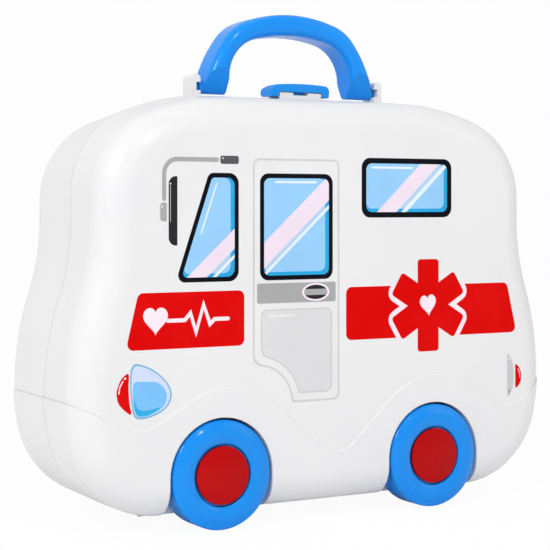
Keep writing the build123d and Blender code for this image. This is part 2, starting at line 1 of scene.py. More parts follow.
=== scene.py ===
"""Dresses the toy doctor case: moulded plastic shells, printed films, wheels, handle and latch.

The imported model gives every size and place. Sizes written here are millimetres, turned into
metres by MM. The front face looks towards -Y, the ambulance's nose towards -X.
"""

from __future__ import annotations

import logging
import math
from dataclasses import dataclass, field
from enum import Enum

import bmesh
import bpy
from mathutils import Matrix, Vector

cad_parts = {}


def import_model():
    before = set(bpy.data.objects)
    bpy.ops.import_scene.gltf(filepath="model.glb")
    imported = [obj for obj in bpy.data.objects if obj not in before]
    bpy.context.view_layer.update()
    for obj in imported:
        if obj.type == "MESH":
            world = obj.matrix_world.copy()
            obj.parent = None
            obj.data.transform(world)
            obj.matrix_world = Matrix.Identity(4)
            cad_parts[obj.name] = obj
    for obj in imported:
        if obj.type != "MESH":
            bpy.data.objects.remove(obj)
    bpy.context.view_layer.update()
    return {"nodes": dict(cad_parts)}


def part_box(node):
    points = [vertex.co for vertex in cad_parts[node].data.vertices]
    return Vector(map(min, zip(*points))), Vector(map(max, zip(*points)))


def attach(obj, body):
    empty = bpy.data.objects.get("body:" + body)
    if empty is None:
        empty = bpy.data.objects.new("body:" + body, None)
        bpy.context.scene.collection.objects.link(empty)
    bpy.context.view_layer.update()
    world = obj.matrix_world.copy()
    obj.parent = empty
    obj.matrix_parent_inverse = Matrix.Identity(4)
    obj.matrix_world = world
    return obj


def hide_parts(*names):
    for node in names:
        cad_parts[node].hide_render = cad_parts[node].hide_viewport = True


MM = 0.001
LOG = logging.getLogger("doctor_case")

Point = tuple[float, float]
Loop = tuple[Point, ...]
Outline = list[Point]
Span = tuple[float, float, float, float]
Triple = tuple[float, float, float]
Colour = Triple
Socket = bpy.types.NodeSocket


def srgb(red: int, green: int, blue: int) -> Colour:
    """Turn a printed colour, 0 to 255 a channel, into the linear colour a shader takes.

    Args:
        red: Red channel.
        green: Green channel.
        blue: Blue channel.

    Returns:
        The linear colour.
    """
    channels = []
    for value in (red, green, blue):
        part = value / 255
        channels.append(part / 12.92 if part <= 0.04045 else ((part + 0.055) / 1.055) ** 2.4)
    return channels[0], channels[1], channels[2]


class Side(Enum):
    """The two printed faces of the case: a name and the direction its face looks along Y."""

    FRONT = ("front", -1.0)
    REAR = ("rear", 1.0)

    @property
    def prefix(self) -> str:
        """The word that its nodes' names start with."""
        return self.value[0]

    @property
    def outward(self) -> float:
        """The sign of the direction that the face looks along Y."""
        return self.value[1]

    @property
    def body(self) -> str:
        """The moving body that carries the face."""
        return "lid" if self is Side.FRONT else "tray"


# ---------------------------------------------------------------- finishes


@dataclass
class ShaderDesk:
    """A material's node tree and short calls that add to it."""

    material: bpy.types.Material

    @classmethod
    def start(cls, name: str) -> ShaderDesk:
        """Make an empty node material.

        Args:
            name: The material's name.

        Returns:
            The desk, with no nodes on it.
        """
        material = bpy.data.materials.new(name)
        material.use_nodes = True
        material.node_tree.nodes.clear()
        return cls(material)

    def add(self, kind: str, **settings: object) -> bpy.types.Node:
        """Add a node and set its properties.

        Args:
            kind: The node's type without the ShaderNode prefix.
            settings: Properties to set on the node.

        Returns:
            The new node.
        """
        node = self.material.node_tree.nodes.new("ShaderNode" + kind)
        for key, value in settings.items():
            setattr(node, key, value)
        return node

    def join(self, source: Socket, target: Socket) -> None:
        """Link an output to an input."""
        self.material.node_tree.links.new(source, target)

    def noise(self, where: Socket, scale: float, detail: float) -> Socket:
        """Add a noise texture.

        Args:
            where: The coordinates that it reads.
            scale: Waves per metre.
            detail: Octaves.

        Returns:
            Its factor, about 0.5 on average.
        """
        node = self.add("TexNoise")
        node.inputs["Scale"].default_value = scale
        node.inputs["Detail"].default_value = detail
        self.join(where, node.inputs["Vector"])
        return node.outputs["Fac"]

    def spread(self, value: Socket, low: float, high: float,
               source: Point = (0.3, 0.7)) -> Socket:
        """Map a value's usual span to another span, clamped.

        Args:
            value: The value.
            low: Result at the span's low end.
            high: Result at its high end.
            source: The span of the value.

        Returns:
            The mapped value.
        """
        node = self.add("MapRange")
        node.inputs["From Min"].default_value, node.inputs["From Max"].default_value = source
        node.inputs["To Min"].default_value = low
        node.inputs["To Max"].default_value = high
        self.join(value, node.inputs["Value"])
        return node.outputs["Result"]

    def blend(self, amount: Socket, first: Colour, second: Colour) -> Socket:
        """Mix two colours by an amount.

        Args:
            amount: 0 for the first, 1 for the second.
            first: A linear colour.
            second: Another.

        Returns:
            The mixed colour.
        """
        node = self.add("Mix", data_type="RGBA")
        colours = [socket for socket in node.inputs if socket.type == "RGBA"]
        for socket, colour in zip(colours, (first, second)):
            socket.default_value = (*colour, 1.0)
        self.join(amount, node.inputs["Factor"])
        return next(s for s in node.outputs if s.type == "RGBA")

    def calc(self, operation: str, first: Socket,
             second: Socket | float) -> Socket:
        """Join two values with a Math node.

        Args:
            operation: The node's operation.
            first: The first value.
            second: The second value, a socket or a number.

        Returns:
            The result.
        """
        node = self.add("Math", operation=operation)
        self.join(first, node.inputs[0])
        if isinstance(second, Socket):
            self.join(second, node.inputs[1])
        else:
            node.inputs[1].default_value = second
        return node.outputs[0]

    def worn_edges(self, width: float) -> tuple[Socket, Socket]:
        """Find the sharp edges of a surface.

        Args:
            width: How far from an edge the wear reaches, in metres.

        Returns:
            A mask that is 1 on edges, and the normal with the edges rounded over.
        """
        bevel = self.add("Bevel", samples=4)
        bevel.inputs["Radius"].default_value = width
        geometry = self.add("NewGeometry")
        facing = self.add("VectorMath", operation="DOT_PRODUCT")
        self.join(bevel.outputs["Normal"], facing.inputs[0])
        self.join(geometry.outputs["Normal"], facing.inputs[1])
        mask = self.spread(facing.outputs["Value"], 1.0, 0.0, (0.80, 0.995))
        return mask, bevel.outputs["Normal"]

    def bump(self, height: Socket, depth: float, strength: float,
             normal: Socket | None = None) -> Socket:
        """Turn a height into a bumped normal.

        Args:
            height: The height.
            depth: Metres that a height of 1 stands for.
            strength: 0 to 1.
            normal: The normal to start from.

        Returns:
            The bumped normal.
        """
        node = self.add("Bump")
        node.inputs["Strength"].default_value = strength
        node.inputs["Distance"].default_value = depth
        self.join(height, node.inputs["Height"])
        if normal is not None:
            self.join(normal, node.inputs["Normal"])
        return node.outputs["Normal"]

    def finish(self, shader: bpy.types.Node) -> bpy.types.Material:
        """Link the shader to the surface output.

        Args:
            shader: The closing shader node.

        Returns:
            The finished material.
        """
        output = self.add("OutputMaterial")
        self.join(shader.outputs[0], output.inputs["Surface"])
        return self.material


@dataclass(frozen=True)
class MouldedPlastic:
    """Injection moulded plastic: faint flow marks, fine skin, hairline scuffs and rubbed edges.

    Waves are counted per metre, depths and the edge's width are millimetres.
    """

    name: str
    colour: Colour
    deep: Colour
    rubbed: Colour
    roughness: float = 0.3
    skin_depth: float = 0.02
    edge: float = 0.5
    gloss: float = 0.25
    flow_waves: float = 16
    flow_depth: float = 0.25
    skin_waves: float = 850
    cloud_waves: float = 70
    scuff_stretch: Triple = (22, 22, 900)
    scuff_turn: Triple = (0.2, 0.5, 0.3)
    scuff_waves: float = 2.2
    scuff_dulling: float = 0.12

    def material(self) -> bpy.types.Material:
        """Build the material.

        Returns:
            The node material.
        """
        desk = ShaderDesk.start(self.name)
        where = desk.add("TexCoord").outputs["Object"]
        flow = desk.noise(where, self.flow_waves, 2)
        skin = desk.noise(where, self.skin_waves, 3)
        cloud = desk.noise(where, self.cloud_waves, 4)
        stretch = desk.add("Mapping")
        stretch.inputs["Scale"].default_value = self.scuff_stretch
        stretch.inputs["Rotation"].default_value = self.scuff_turn
        desk.join(where, stretch.inputs["Vector"])
        hairline = desk.noise(stretch.outputs["Vector"], self.scuff_waves, 2)
        scuff = desk.spread(hairline, 0.0, 1.0, (0.66, 0.74))
        edges, rounded = desk.worn_edges(self.edge * MM)
        body = desk.blend(desk.spread(flow, 0.0, 1.0), self.colour, self.deep)
        worn = desk.add("Mix", data_type="RGBA")
        desk.join(desk.calc("MULTIPLY", edges, desk.spread(cloud, 0.25, 0.8)), worn.inputs["Factor"])
        colour_in = [s for s in worn.inputs if s.type == "RGBA"]
        desk.join(body, colour_in[0])
        colour_in[1].default_value = (*self.rubbed, 1.0)
        rough = desk.spread(cloud, self.roughness - 0.05, self.roughness + 0.07)
        rough = desk.calc("ADD", rough, desk.calc("MULTIPLY", scuff, self.scuff_dulling))
        normal = desk.bump(skin, self.skin_depth * MM, 0.35, rounded)
        scored = desk.calc("ADD", flow, desk.calc("MULTIPLY", scuff, -0.04))
        normal = desk.bump(scored, self.flow_depth * MM, 0.3, normal)
        shader = desk.add("BsdfPrincipled")
        desk.join(next(s for s in worn.outputs if s.type == "RGBA"), shader.inputs["Base Color"])
        desk.join(rough, shader.inputs["Roughness"])
        desk.join(normal, shader.inputs["Normal"])
        shader.inputs["Specular IOR Level"].default_value = self.gloss
        return desk.finish(shader)


@dataclass(frozen=True)
class PrintedInk:
    """Ink on glossy film: an even colour with a faint print grain and a varying gloss."""

    name: str
    colour: Colour
    roughness: float = 0.24
    gloss: float = 0.04
    grain_waves: float = 1900
    drift_waves: float = 35
    grain_depth: float = 0.03

    def material(self) -> bpy.types.Material:
        """Build the material.

        Returns:
            The node material.
        """
        desk = ShaderDesk.start(self.name)
        where = desk.add("TexCoord").outputs["Object"]
        grain = desk.noise(where, self.grain_waves, 2)
        drift = desk.noise(where, self.drift_waves, 3)
        lighter = tuple(min(1.0, part * 1.05 + 0.004) for part in self.colour)
        darker = tuple(part * 0.95 for part in self.colour)
        mottle = desk.calc("ADD", desk.calc("MULTIPLY", grain, 0.35), desk.calc("MULTIPLY", drift, 0.65))
        shader = desk.add("BsdfPrincipled")
        body = desk.blend(desk.spread(mottle, 0.0, 1.0), darker, lighter)
        rough = desk.spread(drift, self.roughness - 0.05, self.roughness + 0.06)
        desk.join(body, shader.inputs["Base Color"])
        desk.join(rough, shader.inputs["Roughness"])
        desk.join(desk.bump(mottle, self.grain_depth * MM, 0.25), shader.inputs["Normal"])
        shader.inputs["Specular IOR Level"].default_value = self.gloss
        return desk.finish(shader)


@dataclass(frozen=True)
class TurnedSteel:
    """Plain steel of pins, screws and washers, with fine turning marks."""

    name: str
    colour: Colour
    roughness: float = 0.32
    mark_waves: Triple = (2600, 300, 2600)
    tarnish_waves: float = 300
    edge: float = 0.25

    def material(self) -> bpy.types.Material:
        """Build the material.

        Returns:
            The node material.
        """
        desk = ShaderDesk.start(self.name)
        where = desk.add("TexCoord").outputs["Object"]
        marks = desk.add("Mapping")
        marks.inputs["Scale"].default_value = self.mark_waves
        desk.join(where, marks.inputs["Vector"])
        grooves = desk.noise(marks.outputs["Vector"], 1.0, 3)
        tarnish = desk.noise(where, self.tarnish_waves, 4)
        edges, rounded = desk.worn_edges(self.edge * MM)
        dull = tuple(part * 0.72 for part in self.colour)
        shader = desk.add("BsdfPrincipled")
        body = desk.blend(desk.spread(tarnish, 0.0, 1.0), self.colour, dull)
        desk.join(body, shader.inputs["Base Color"])
        rough = desk.spread(tarnish, self.roughness - 0.08, self.roughness + 0.12)
        rough = desk.calc("SUBTRACT", rough, desk.calc("MULTIPLY", edges, 0.1))
        desk.join(rough, shader.inputs["Roughness"])
        desk.join(desk.bump(grooves, 0.02 * MM, 0.5, rounded), shader.inputs["Normal"])
        shader.inputs["Metallic"].default_value = 1.0
        return desk.finish(shader)


class Paint(Enum):
    """Every finish on the case, each made once and shared."""

    SHELL = MouldedPlastic("white_shell", srgb(233, 233, 233), srgb(229, 229, 230), srgb(241, 241, 241),
                           roughness=0.34, skin_depth=0.02, edge=0.6, gloss=0.4)
    HANDLE = MouldedPlastic("blue_handle", srgb(0, 146, 242), srgb(0, 138, 236), srgb(36, 162, 247),
                            roughness=0.17, edge=0.8, gloss=0.32)
    LATCH = MouldedPlastic("blue_latch", srgb(14, 150, 240), srgb(8, 143, 235), srgb(66, 172, 247),
                           roughness=0.2, edge=0.4, gloss=0.3)
    WHEEL = MouldedPlastic("blue_wheel", srgb(0, 144, 238), srgb(0, 138, 233), srgb(44, 164, 246),
                           roughness=0.14, edge=0.9, gloss=0.32)
    CAP = MouldedPlastic("red_cap", srgb(190, 0, 4), srgb(178, 0, 3), srgb(208, 16, 22),
                         roughness=0.14, edge=1.0, gloss=0.12)
    STEEL = TurnedSteel("plain_steel", (0.56, 0.56, 0.57))
    INK_BLACK = PrintedInk("ink_black", srgb(10, 14, 20))
    INK_PANE = PrintedInk("ink_pane_blue", srgb(151, 204, 245))
    INK_BEVEL = PrintedInk("ink_pane_edge", srgb(42, 165, 222))
    INK_GLARE = PrintedInk("ink_glare_pink", srgb(238, 222, 236))
    INK_PALE = PrintedInk("ink_glare_pale", srgb(178, 208, 236))
    INK_SPARK = PrintedInk("ink_spark_white", srgb(226, 238, 252))
    INK_RED = PrintedInk("ink_red", srgb(218, 0, 0))
    INK_DARK_RED = PrintedInk("ink_dark_red", srgb(160, 8, 16))
    INK_WHITE = PrintedInk("ink_white", srgb(246, 230, 238))
    INK_GREY = PrintedInk("ink_grey", srgb(168, 168, 169))
    INK_LINE = PrintedInk("ink_line_grey", srgb(205, 205, 206))
    INK_DOOR = PrintedInk("ink_door_white", srgb(230, 230, 230))
    INK_PANEL = PrintedInk("ink_panel_grey", srgb(218, 218, 219))
    INK_CHARCOAL = PrintedInk("ink_charcoal", srgb(44, 42, 46))
    INK_SLATE = PrintedInk("ink_slate", srgb(88, 88, 90))
    INK_ICE = PrintedInk("ink_lamp_ice", srgb(208, 220, 246))
    INK_LAMP = PrintedInk("ink_lamp_blue", srgb(124, 192, 243))
    INK_LAMP_RIM = PrintedInk("ink_lamp_rim", srgb(120, 178, 218))
    INK_LAMP_DEEP = PrintedInk("ink_lamp_deep", srgb(52, 172, 224))
    INK_SILVER = PrintedInk("ink_silver", srgb(197, 198, 199))

    @property
    def material(self) -> bpy.types.Material:
        """The shared material, built on first use."""
        made = bpy.data.materials.get(self.value.name)
        return made if made else self.value.material()


# ---------------------------------------------------------------- outlines


def rounded(corners: list[Triple], steps: int = 10) -> Outline:
    """Draw a closed polygon with rounded corners.

    Args:
        corners: Each corner's x, z and radius, in order around the shape.
        steps: Chords in each rounded corner.

    Returns:
        The outline.
    """
    outline: Outline = []
    count = len(corners)
    for index, (x, z, radius) in enumerate(corners):
        here = Vector((x, z))
        before = Vector(corners[index - 1][:2]) - here
        after = Vector(corners[(index + 1) % count][:2]) - here
        if radius <= 0:
            outline.append((x, z))
            continue
        half = before.angle(after) / 2
        reach = radius / math.tan(half)
        centre = here + (before.normalized() + after.normalized()).normalized() * (radius / math.sin(half))
        start = here + before.normalized() * reach - centre
        end = here + after.normalized() * reach - centre
        turn = start.angle_signed(end)
        for step in range(steps + 1):
            angle = -turn * step / steps
            spoke = Matrix.Rotation(angle, 2) @ start
            outline.append((centre.x + spoke.x, centre.y + spoke.y))
    return outline


def patch(span: Span, front: float, back: float) -> Outline:
    """Draw a rectangle with its own radius on each end.

    Args:
        span: Lowest x, highest x, lowest z and highest z.
        front: Radius of the corners at the low x.
        back: Radius of the corners at the high x.

    Returns:
        The outline.
    """
    x0, x1, z0, z1 = span
    return rounded([(x0, z0, front), (x1, z0, back), (x1, z1, back), (x0, z1, front)])


def smooth(points: Loop, steps: int = 8) -> Outline:
    """Draw a smooth closed loop through a few points.

    Args:
        points: The points, in order.
        steps: Chords from one point to the next.

    Returns:
        The outline.
    """
    outline: Outline = []
    count = len(points)
    for index in range(count):
        a, b, c, d = (Vector(points[(index + shift) % count]) for shift in (-1, 0, 1, 2))
        for step in range(steps):
            t = step / steps
            bend, twist = 2 * a - 5 * b + 4 * c - d, 3 * b - a - 3 * c + d
            spot = 0.5 * (2 * b + (c - a) * t + bend * t**2 + twist * t**3)
            outline.append((spot.x, spot.y))
    return outline


def ellipse(centre: Point, across: float, up: float, steps: int = 48) -> Outline:
    """Draw an ellipse by its centre and half sizes.

    Args:
        centre: Its middle.
        across: Half its width.
        up: Half its height.
        steps: Chords around it.

    Returns:
        The outline.
    """
    turns = [2 * math.pi * step / steps for step in range(steps)]
    return [(centre[0] + across * math.cos(t), centre[1] + up * math.sin(t)) for t in turns]


def stroke(path: Outline | Loop, width: float, steps: int = 6) -> Outline:
    """Draw a line of some width with round ends.

    Args:
        path: Points along its middle.
        width: Its width.
        steps: Chords in each end.

    Returns:
        The outline around the line.
    """
    spots = [Vector(p) for p in path]
    half = width / 2
    ways = [(ahead - spot).normalized() for spot, ahead in zip(spots, spots[1:])]
    left, right = [], []
    for index, spot in enumerate(spots):
        before, after = ways[max(index - 1, 0)], ways[min(index, len(ways) - 1)]
        along = (before + after).normalized()
        across = Vector((-along.y, along.x))
        inner = half / max(along.dot(before), 0.15)
        outer = min(inner, 1.6 * half)
        turns_left = before.x * after.y > before.y * after.x
        left.append(spot + across * (inner if turns_left else outer))
        right.append(spot - across * (outer if turns_left else inner))

    def end_cap(spot: Vector, start: Vector) -> list[Vector]:
        """The round end from one side of the line to the other."""
        return [spot + Matrix.Rotation(-math.pi * s / steps, 2) @ (start - spot) for s in range(1, steps)]

    loop = left + end_cap(spots[-1], left[-1]) + right[::-1] + end_cap(spots[0], right[0])
    return [(p.x, p.y) for p in loop]


def clipped(outline: Outline, normal: Point, limit: float) -> Outline:
    """Keep the part of an outline on one side of a line.

    Args:
        outline: The outline.
        normal: A direction across the line.
        limit: Points whose place along that direction is at most this are kept.

    Returns:
        The kept part.
    """
    kept: Outline = []
    for index, here in enumerate(outline):
        last = outline[index - 1]
        rise_here = here[0] * normal[0] + here[1] * normal[1] - limit
        rise_last = last[0] * normal[0] + last[1] * normal[1] - limit
        if rise_here * rise_last < 0:
            share = rise_last / (rise_last - rise_here)
            kept.append((last[0] + (here[0] - last[0]) * share, last[1] + (here[1] - last[1]) * share))
        if rise_here <= 0:
            kept.append(here)
    return kept


def slanted_band(outline: Outline, foot: float, width: float, slope: float, base: float) -> Outline:
    """Cut a slanting band out of an outline.

    Args:
        outline: The shape that the band crosses.
        foot: Where the band's upper edge meets the base line.
        width: The band's width along the base line.
        slope: Rise over run of its edges.
        base: Height of the base line.

    Returns:
        The band's outline.
    """
    along = foot * slope - base
    band = clipped(outline, (slope, -1.0), along + width * slope)
    return clipped(band, (-slope, 1.0), -along)


def heart(centre: Point, width: float, height: float, tilt: float = 0.0, steps: int = 40) -> Outline:
    """Draw a heart.

    Args:
        centre: Its middle.
        width: Its width.
        height: Its height.
        tilt: Degrees that it leans, anticlockwise.
        steps: Chords around it.

    Returns:
        The outline.
    """
    outline = []
    lean = Matrix.Rotation(math.radians(tilt), 2)
    for step in range(steps):
        t = 2 * math.pi * step / steps
        across = 16 * math.sin(t) ** 3 / 32
        up = (15.5 * math.cos(t) - 5 * math.cos(2 * t) - 2 * math.cos(3 * t) - math.cos(4 * t) + 2.5) / 31
        spot = lean @ Vector((across * width, up * height))
        outline.append((centre[0] + spot.x, centre[1] + spot.y))
    return outline


# ---------------------------------------------------------------- printed films


@dataclass
class Layer:
    """One colour of a print: its loops, the first outside and the others holes, and its ink."""

    paint: Paint
    loops: list[Outline]
    level: int


@dataclass
class PrintedFilm:
    """A film stuck on a face of the case. Its inks lie on each other, each a hair above the last.

    cad_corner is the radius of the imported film's corners.
    """

    node: str
    side: Side
    slot: str
    base: float = 0.03
    step: float = 0.022
    cad_corner: float = 3.0

    @property
    def cad_name(self) -> str:
        """The CAD node that the film stands for."""
        return f"{self.side.prefix}_{self.node}"

    def area(self) -> Span:
        """The CAD film's box on its face, in millimetres.

        Returns:
            Lowest x, highest x, lowest z and highest z.
        """
        low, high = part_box(self.cad_name)
        return low.x / MM, high.x / MM, low.z / MM, high.z / MM

    def tip(self, run: float, rise: float) -> float:
        """How far the sharp corner of a slanting end lies beyond its rounded one.

        Args:
            run: How far the end leans in over its height.
            rise: Its height.

        Returns:
            The distance, in millimetres.
        """
        return self.cad_corner / math.tan(math.atan2(rise, run) / 2) - self.cad_corner

    def layers(self) -> list[Layer]:
        """The print's colours. Each print gives its own."""
        return []

    def face_y(self) -> float:
        """Where the case's face is under the film, in metres."""
        low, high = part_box(self.cad_name)
        return high.y if self.side is Side.FRONT else low.y

    def build(self) -> bpy.types.Object:
        """Make the film's mesh, dress it and put it on its body.

        Returns:
            The piece.
        """
        mesh = bpy.data.meshes.new(self.cad_name + "_film")
        form = bmesh.new()
        inks: list[Paint] = []
        ground = self.face_y()
        for layer in self.layers():
            if layer.paint not in inks:
                inks.append(layer.paint)
            top = self.base + self.step * layer.level
            plate = self.plate(layer.loops, top)
            first = len(form.faces)
            form.from_mesh(plate)
            bpy.data.meshes.remove(plate)
            form.faces.ensure_lookup_table()
            for face in form.faces[first:]:
                face.material_index = inks.index(layer.paint)
        for vertex in form.verts:
            x, z, lift = vertex.co
            vertex.co = (x * MM, ground + self.side.outward * lift * MM, z * MM)
        bmesh.ops.recalc_face_normals(form, faces=form.faces)
        form.to_mesh(mesh)
        form.free()
        for ink in inks:
            mesh.materials.append(ink.material)
        piece = bpy.data.objects.new(self.cad_name + "_film", mesh)
        bpy.context.scene.collection.objects.link(piece)
        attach(piece, self.side.body)
        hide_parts(self.cad_name)
        LOG.info("%s: %d inks, %d faces", piece.name, len(inks), len(mesh.polygons))
        return piece

    @staticmethod
    def plate(loops: list[Outline], top: float) -> bpy.types.Mesh:
        """Make a thin plate from loops on the XY plane, from 0 up to a height.

        Args:
            loops: The outside loop, then any holes.
            top: The height, in millimetres.

        Returns:
            The plate's mesh.
        """
        curve = bpy.data.curves.new("plate", "CURVE")
        curve.dimensions = "2D"
        curve.fill_mode = "BOTH"
        curve.extrude = top / 2
        for loop in loops:
            spline = curve.splines.new("POLY")
            spline.points.add(len(loop) - 1)
            for point, (x, z) in zip(spline.points, loop):
                point.co = (x, z, 0.0, 1.0)
            spline.use_cyclic_u = True
        holder = bpy.data.objects.new("plate", curve)
        mesh = bpy.data.meshes.new_from_object(holder)
        mesh.transform(Matrix.Translation((0.0, 0.0, top / 2)))
        bpy.data.objects.remove(holder)
        bpy.data.curves.remove(curve)
        return mesh


@dataclass
class WindowFilm(PrintedFilm):
    """A window: black surround, blue pane with a deeper edge, slanting glare and a bright line."""

    cad_corner: float = 4.0
    frame: float = 2.3
    corner: float = 4.6
    back_corner: float = 4.6
    tightening: float = 0.6
    lean: float = 0.0
    edge: float = 2.2
    slope: float = 0.9
    glare_foot: float = 0.0
    glare_width: float = 12.0
    pale_width: float = 3.0
    line_width: float = 2.2
    spark: tuple[Point, Point] = ((0.0, 0.0), (1.0, 0.0))
    spark_width: float = 1.0

    def outline(self, inset: float, right: float = 0.0, bottom: float = 0.0) -> Outline:
        """The window's shape, pulled in.

        Args:
            inset: How far every side is pulled in.
            right: Further pull on the back side.
            bottom: Further pull on the sill.

        Returns:
            The outline.
        """
        low_x, high_x, low_z, high_z = self.area()
        foot, head = low_z + inset + bottom, high_z - inset
        slide = self.lean / (high_z - low_z)
        low_x -= self.tip(self.lean, high_z - low_z)
        along = inset * math.sqrt(1 + slide**2)
        front_foot = low_x + along + slide * (foot - low_z)
        front_head = low_x + along + slide * (head - low_z)
        back = high_x - inset - right
        fore = self.corner - self.tightening * inset
        aft = self.back_corner - self.tightening * inset
        front = [(front_head, head, fore), (front_foot, foot, fore)]
        return rounded([front[1], (back, foot, aft), (back, head, aft), front[0]])

    def layers(self) -> list[Layer]:
        """The window's inks, from the surround up to the bright line.

        Returns:
            The layers.
        """
        low_x, _, low_z, high_z = self.area()
        pane = self.outline(self.frame)
        lit = self.outline(self.frame, self.edge, self.edge * 0.8)
        base = low_z + self.frame
        foot = low_x + self.glare_foot
        after = foot + self.glare_width
        last = after + self.pale_width
        line = [(low_x + x, high_z - z) for x, z in self.spark]
        return [
            Layer(Paint.INK_BLACK, [self.outline(0.0)], 0),
            Layer(Paint.INK_BEVEL, [pane], 1),
            Layer(Paint.INK_PANE, [lit], 2),
            Layer(Paint.INK_GLARE, [slanted_band(pane, foot, self.glare_width, self.slope, base)], 3),
            Layer(Paint.INK_PALE, [slanted_band(lit, after, self.pale_width, self.slope, base)], 3),
            Layer(Paint.INK_SPARK, [slanted_band(pane, last, self.line_width, self.slope, base)], 3),
            Layer(Paint.INK_SPARK, [stroke(line, self.spark_width)], 4),
        ]


@dataclass
class DoorFilm(PrintedFilm):
    """The door: a thin grey outline, a grey band with the pull, and a pressed lower panel."""

    line: float = 1.0
    corner: float = 3.6
    cut_shift: float = 3.0
    cut_radius: float = 18.9
    knee: float = 5.6
    toe: float = 2.5
    band_low: float = 109.4
    band_high: float = 119.3
    band_inset: float = 2.3
    pull: Point = (-9.4, 114.4)
    pull_size: Point = (6.8, 3.6)
    pull_ring: float = 1.2
    panel_high: float = 106.4
    panel_inset: float = 4.4
    panel_line: float = 0.8
    hole_margin: float = 0.2
    hole_corner: float = 4.7
    bar_share: float = 0.42

    def shape(self, inset: float, high: float, corner: float) -> Outline:
        """The door's shape with its foot cut round over the wheel.

        Args:
            inset: How far it is pulled in.
            high: Its upper edge.
            corner: Radius of its corners.

        Returns:
            The outline.
        """
        low_x, high_x, low_z, _ = self.area()
        centre = Vector((low_x + self.cut_shift, low_z))
        radius = self.cut_radius + inset
        left, right, foot = low_x + inset, high_x - inset, low_z + inset
        start = math.acos((left + self.knee - centre.x) / radius)
        stop = math.asin((inset + self.toe) / radius)
        turns = [start + (stop - start) * step / 14 for step in range(15)]
        arc = [centre + Vector((math.cos(turn), math.sin(turn))) * radius for turn in turns]
        heel = arc[0].y + self.knee / math.tan(start)
        toe_x = arc[-1].x + (arc[-1].y - foot) * math.tan(stop)
        corners = [(toe_x, foot, 0.8 * self.toe), (right, foot, corner), (right, high, corner)]
        corners += [(left, high, corner), (left, heel, self.knee)]
        return rounded(corners + [(spot.x, spot.y, 0.0) for spot in arc])

    def layers(self) -> list[Layer]:
        """The door's inks.

        Returns:
            The layers.
        """
        low_x, high_x, _, high_z = self.area()
        window = PrintedFilm("door_window", self.side, self.slot).area()
        margin = self.hole_margin
        opening = (window[0] - margin, window[1] + margin, window[2] - margin, window[3] + margin)
        hole = patch(opening, self.hole_corner, self.hole_corner)
        band = (low_x + self.band_inset, high_x - self.band_inset, self.band_low, self.band_high)
        across, up = self.pull_size
        ring = self.pull_ring
        grip = ellipse(self.pull, across, up)
        half_bar = up * self.bar_share
        bar = clipped(clipped(grip, (0, 1), self.pull[1] + half_bar), (0, -1), half_bar - self.pull[1])
        edge = self.panel_inset
        lower = edge + self.panel_line
        inner = self.shape(self.line, high_z - self.line, self.corner - self.line)
        shine = [(low_x + edge + 4.0, self.panel_high - 3.3), (low_x + edge + 19.0, self.panel_high - 3.3)]
        return [
            Layer(Paint.INK_LINE, [self.shape(0.0, high_z, self.corner), hole], 0),
            Layer(Paint.INK_DOOR, [inner, hole], 1),
            Layer(Paint.INK_GREY, [patch(band, 1.0, 1.0)], 2),
            Layer(Paint.INK_WHITE, [ellipse(self.pull, across + ring, up + ring * 0.75)], 3),
            Layer(Paint.INK_CHARCOAL, [grip], 4),
            Layer(Paint.INK_GREY, [bar], 5),
            Layer(Paint.INK_LINE, [self.shape(edge, self.panel_high, 3.4)], 2),
            Layer(Paint.INK_PANEL, [self.shape(lower, self.panel_high - self.panel_line, 2.6)], 3),
            Layer(Paint.INK_DOOR, [stroke(shine, 1.3)], 4),
        ]


@dataclass
class LabelFilm(PrintedFilm):
    """The red label ahead of the door, with a heart and a pulse line in white."""

    corner: float = 3.2
    slant: float = 6.5
    line_width: float = 1.9
    line_margin: float = 9.0
    heart_size: Point = (13.0, 12.4)
    beat: Loop = ((0.0, 0.0), (9.0, 0.0), (12.0, 3.6), (15.0, -7.0), (19.0, 8.0), (22.5, -2.5), (25.0, 0.0))

    def layers(self) -> list[Layer]:
        """The label's inks.

        Returns:
            The layers.
        """
        low_x, high_x, low_z, high_z = self.area()
        low_x -= self.tip(self.slant, high_z - low_z)
        ends = [(low_x, low_z), (high_x, low_z), (high_x, high_z), (low_x + self.slant, high_z)]
        sheet = rounded([(x, z, self.corner) for x, z in ends])
        middle = (low_z + high_z) / 2
        width, height = self.heart_size
        start = low_x + self.line_margin + width
        pulse = [(start + x, middle + z) for x, z in self.beat]
        pulse.append((high_x - self.line_margin, middle))
        centre = (start - width / 2, middle)
        return [
            Layer(Paint.INK_RED, [sheet], 0),
            Layer(Paint.INK_WHITE, [heart(centre, width, height)], 1),
            Layer(Paint.INK_WHITE, [stroke(pulse, self.line_width)], 1),
        ]


